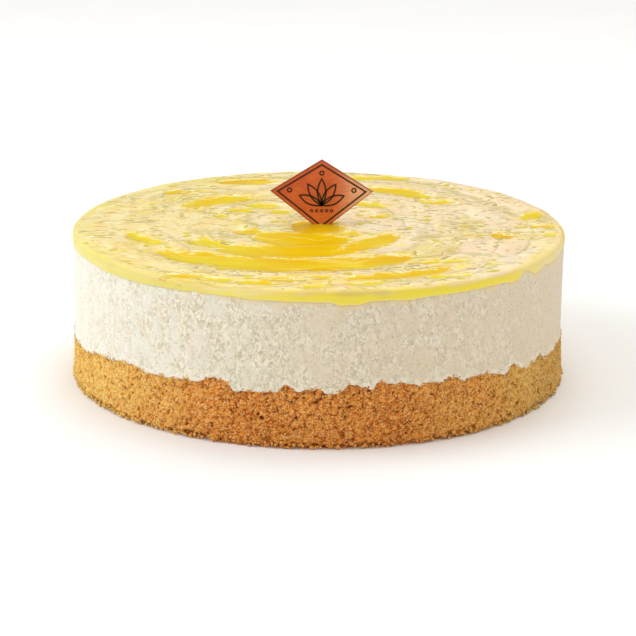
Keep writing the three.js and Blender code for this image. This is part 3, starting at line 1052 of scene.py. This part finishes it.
def coat_swellings(gel):
    """Painted shade in thin lines round low swellings, which the relief lacks, each with a painted highlight.
    """
    times, step = gel.times, gel.step
    swelling = gel.noise((17, 4.6, 8))
    lined = times(on_flat(gel), step(gel.noise(12), 0.4, 0.52))
    off_line = gel.number("ABSOLUTE", gel.minus(swelling, 0.5))
    gel.coat(0xB09A5E, lined, step(off_line, 0.004, 0.02, 0.7, 0))
    highlight_side = times(step(swelling, 0.515, 0.53), step(swelling, 0.54, 0.57, 0.6, 0))
    gel.coat(0xFFF6C8, lined, highlight_side)


def coat_wrinkles(gel):
    """Short painted wrinkles every way, with painted shade and highlights on their sides and in dashes among
    them.
    """
    times, step, coat = gel.times, gel.step, gel.coat
    flat = on_flat(gel)
    wrinkled = step(gel.noise((12, 8, 8)), 0.47, 0.56)
    wrinkled = times(flat, wrinkled, step(gel.x, -70, 0, 0.35, 1))
    ripple = gel.noise((13, 8, 13), 2, 0.55)
    ripple = gel.number("FRACT", times(ripple, 6))
    shade_side = times(step(ripple, 0.8, 0.93, 0, 0.8), step(ripple, 0.95, 1, 1, 0))
    coat(0xB49C64, wrinkled, shade_side)
    highlight_side = times(step(ripple, 0, 0.05), step(ripple, 0.1, 0.25, 0.7, 0))
    coat(0xFFF8C8, wrinkled, highlight_side)
    dashes = gel.noise((2.6, 1.6, 2.6), 1)
    coat(0xC2AC78, wrinkled, step(dashes, 0.63, 0.69, 0, 0.35))
    coat(0xFFF8CC, flat, step(dashes, 0.31, 0.38, 0.65, 0))


def coat_flecks(gel):
    """Flecks of thick gel, outlined."""
    step = gel.step
    large = gel.noise((5, 3.6, 5), 1.5, 0.6)
    small = gel.noise((2.7, 2.2, 2.7), 1)
    flecks = gel.number("MAXIMUM", large, gel.minus(small, 0.085))
    gel.coat(0xAC964E, on_flat(gel), step(flecks, 0.63, 0.65, 0, 0.55))
    gold = gel.mix(step(gel.field("clouds"), 0.1, 0.4), 0xDACA2C, 0xE8C224)
    gel.coat(gold, step(gel.field("inside"), 0.5, 2), step(flecks, 0.65, 0.675))


def coat_streaks(gel):
    """The long streaks of thick gel, with a painted highlight along the back edge and painted shade along the
    front.
    """
    times, step, coat = gel.times, gel.step, gel.coat
    fringe = gel.minus(gel.noise((5, 1.3, 3), 2, 0.6), 0.5)
    ragged = gel.plus(gel.field("ragged"), times(fringe, 7))
    depth = gel.plus(gel.field("thick"), ragged)
    side = gel.field("side")
    edging = step(gel.number("ABSOLUTE", gel.plus(depth, 0.5)), 0.1, 0.8, 0.8, 0)
    broken = step(gel.noise((6, 3, 6), 1), 0.4, 0.55)
    coat(0xFDF0BA, edging, step(side, 0.5, -0.1, 0, 0.6))
    coat(0xB09440, edging, step(side, 0.2, 0.7, 0, 0.7), broken)
    golden = gel.plus(gel.field("golden"), times(gel.field("clouds"), 0.9))
    gold = gel.mix(step(golden, 0, 0.8), 0xE6D128, 0xE9C106)
    gold = gel.mix(step(golden, 0.7, 1.5), gold, 0xE6B20C)
    gold = gel.mix(step(gel.field("strokes"), -0.4, 0, 0.35, 0), gold, 0xEED424)
    deep = times(step(gel.field("inside"), 0.8, 2.4), step(depth, -0.4, 0.4))
    coat(gold, deep)
    coat(0xF8E06E, deep, step(gel.field("hairs"), 0.3, 0.45, 0, 0.5))


def coat_band(gel):
    """The band down the side, which thins out at its foot, and painted shade over the shoulder, little of it
    at the right.
    """
    times, step, mix = gel.times, gel.step, gel.mix
    up, rich, strokes = (gel.field(name) for name in ("up", "rich", "strokes"))
    band = mix(rich, 0xEEE282, 0xFEE946)
    band = mix(times(step(strokes, 0, 0.45, 0, 0.4), rich), band, 0xF6D828)
    band = mix(step(up, 0, 0.2, 0.55, 0), band, 0xFCEAB0)
    reach = gel.minus(gel.plus(up, times(strokes, 0.5)), step(rich, 0.3, 1, -0.3, 0.05))
    gel.coat(band, step(reach, 0.4, 0.9, 0.95, 0))
    left = at_left(gel)
    shoulder = step(gel.field("inside"), 0.3, 3.2, 1, 0)
    shoulder = times(shoulder, gel.number("MAXIMUM", step(up, 0.5, 0.8), left))
    shading = mix(step(gel.x, 5, 28), 0xF6EEDA, 0xFFFCF8)
    gel.coat(mix(left, shading, 0xF6F5F4), shoulder, how="MULTIPLY")


def coat_far_right(gel):
    """The rim at the far right: painted light that makes it pale and warm where it lies in shade, and a gilt
    edge.
    """
    times, step = gel.times, gel.step
    inside = gel.field("inside")
    painted_light = times(step(gel.x, 44, 60, 0, 0.5), step(inside, 2, 8, 1, 0))
    painted_light = times(painted_light, step(gel.field("clouds"), -0.25, 0.2, 0.2, 1))
    gel.coat(0xFFEEA2, painted_light, step(gel.y, -10, 10, 1, 0))
    gilt = times(step(gel.x, 61, 68), step(gel.y, -24, -10))
    gel.coat(0xF2D04C, gilt, step(inside, 0.2, 1.6, 0.7, 0))


def glaze_paint():
    gel = Paint("fruit gel", IOR=1.24)
    coat_pale_gel(gel)
    coat_wake(gel)
    coat_swellings(gel)
    coat_wrinkles(gel)
    coat_flecks(gel)
    coat_streaks(gel)
    coat_band(gel)
    coat_far_right(gel)
    return gel.finish(roughness=gel.step(gel.field("inside"), 0.8, 3, 0.4, 0.2))


def plaque_paint():
    """Brushed copper, with a painted sheen that brightens its foot and its right, and dark along its edge."""
    paint = Paint("plaque", Roughness=0.38, Metallic=0.25)
    times, step, coat = paint.times, paint.step, paint.coat
    sideways = paint.number("ABSOLUTE", paint.minus(paint.x, KITE_MIDDLE))
    above = paint.number("MAXIMUM", paint.minus(paint.z, KITE_WIDEST), 0)
    below = paint.number("MAXIMUM", paint.minus(KITE_WIDEST, paint.z), 0)
    heights = paint.plus(times(above, 1 / KITE_UPPER), times(below, 1 / KITE_LOWER))
    outwards = paint.plus(times(sideways, 1 / KITE_HALF), heights)
    brushed = paint.noise((3, 0.5, 0.5), 3)
    paint.colour = paint.mix(step(paint.noise(7), 0.4, 0.6), 0xD66438, 0xE27042)
    coat(0xFF924A, step(paint.z, 42, 52, 0.9, 0))
    coat(0xFFC4A6, step(paint.x, 3, 13, 0, 0.95))
    coat(0xB04A28, step(brushed, 0.35, 0.65, 0, 0.25))
    coat(0x6E281A, step(outwards, 0.955, 0.98, 0, 0.7))
    return paint.finish(paint.bump(brushed, 0.01))


def ink_paint():
    paint = Paint("ink", Roughness=0.5)
    paint.colour = paint.mix(paint.step(paint.noise(0.6), 0.4, 0.7), 0x28120E, 0x3E1C12)
    return paint.finish()


# ---- Floor, light and camera ----
FLOOR_HALF = 6.0
SKY_COLOUR = 0xFFF9EE
# how the sky's strength grows with the upward share of a direction
SKY_STEP = {"From Min": 0.35, "From Max": 0.75, "To Min": 0.26, "To Max": 0.85}
SOFTBOXES = [
    # (name, azimuth, elevation, size, watts, colour, whether glossy surfaces mirror it)
    ("key", -82, 32, 0.9, 9.4, (0.91, 0.96, 1.0), False),
    ("fill", 48, 22, 0.9, 1.7, (1.0, 0.93, 0.84), True),
    ("top", 150, 66, 1.0, 5.7, (1.0, 1.0, 1.0), True),
]
SOFTBOX_DISTANCE = 1.3
AIM_HEIGHT = 0.03  # of the point that the softboxes face
CAMERA_PLACE = (0.0, -0.6001, 0.19445)
CAMERA_DOWN = 16.62  # degrees below the level
CAMERA_ROLL = 0.464
CAMERA_LENS = 116.86


def turned(degrees, axis):
    return Matrix.Rotation(math.radians(degrees), 4, axis)


def make_floor():
    mesh = bpy.data.meshes.new("floor")
    corners = [(FLOOR_HALF * x, FLOOR_HALF * y, 0) for x, y in ((-1, -1), (1, -1), (1, 1), (-1, 1))]
    mesh.from_pydata(corners, [], [(0, 1, 2, 3)])
    paint = Paint("floor", Roughness=0.9)
    paint.colour = paint.mix(paint.noise(40), 0xF6F8FC, 0xFAFCFF)
    mesh.materials.append(paint.finish())
    floor = placed("floor", mesh)


def make_sky():
    """An even light from all round, stronger from above."""
    world = bpy.data.worlds.new("studio")
    world.use_nodes = True
    tree = world.node_tree
    sky = tree.nodes["Background"]
    sky.inputs["Color"].default_value = linear(SKY_COLOUR)
    direction = add_node(tree, "ShaderNodeTexCoord", {}, "Generated")
    upwards = add_node(tree, "ShaderNodeSeparateXYZ", {0: direction}, "Z")
    inputs = {"Value": upwards, **SKY_STEP}
    strength = add_node(tree, "ShaderNodeMapRange", inputs, interpolation_type="SMOOTHSTEP")
    tree.links.new(strength, sky.inputs["Strength"])
    bpy.context.scene.world = world


def make_softboxes():
    for name, azimuth, elevation, size, watts, colour, mirrored in SOFTBOXES:
        lamp = bpy.data.lights.new(name, "AREA")
        lamp.size = size
        lamp.energy = watts
        lamp.color = colour
        softbox = placed(name, lamp)
        softbox.visible_glossy = mirrored
        aim = Matrix.Translation((0, 0, AIM_HEIGHT)) @ turned(azimuth, "Z") @ turned(90 - elevation, "X")
        softbox.matrix_world = aim @ Matrix.Translation((0, 0, SOFTBOX_DISTANCE))


def make_camera():
    lens = bpy.data.cameras.new("camera")
    lens.sensor_width = 36
    lens.lens = CAMERA_LENS
    camera = placed("camera", lens)
    aim = turned(90 - CAMERA_DOWN, "X") @ turned(CAMERA_ROLL, "Z")
    camera.matrix_world = Matrix.Translation(CAMERA_PLACE) @ aim
    bpy.context.scene.camera = camera


make_camera()
make_sky()
make_softboxes()
make_floor()
bpy.context.scene.view_settings.view_transform = "Standard"

sponge_material = sponge_paint()
for piece, material in (
    (make_sponge(), sponge_material),
    (make_crumbs(), sponge_material),
    (make_mousse(), mousse_paint()),
    (make_glaze(), glaze_paint()),
    (make_print(), ink_paint()),
):
    piece.data.materials.append(material)
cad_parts["plaque"].material_slots[0].material = plaque_paint()
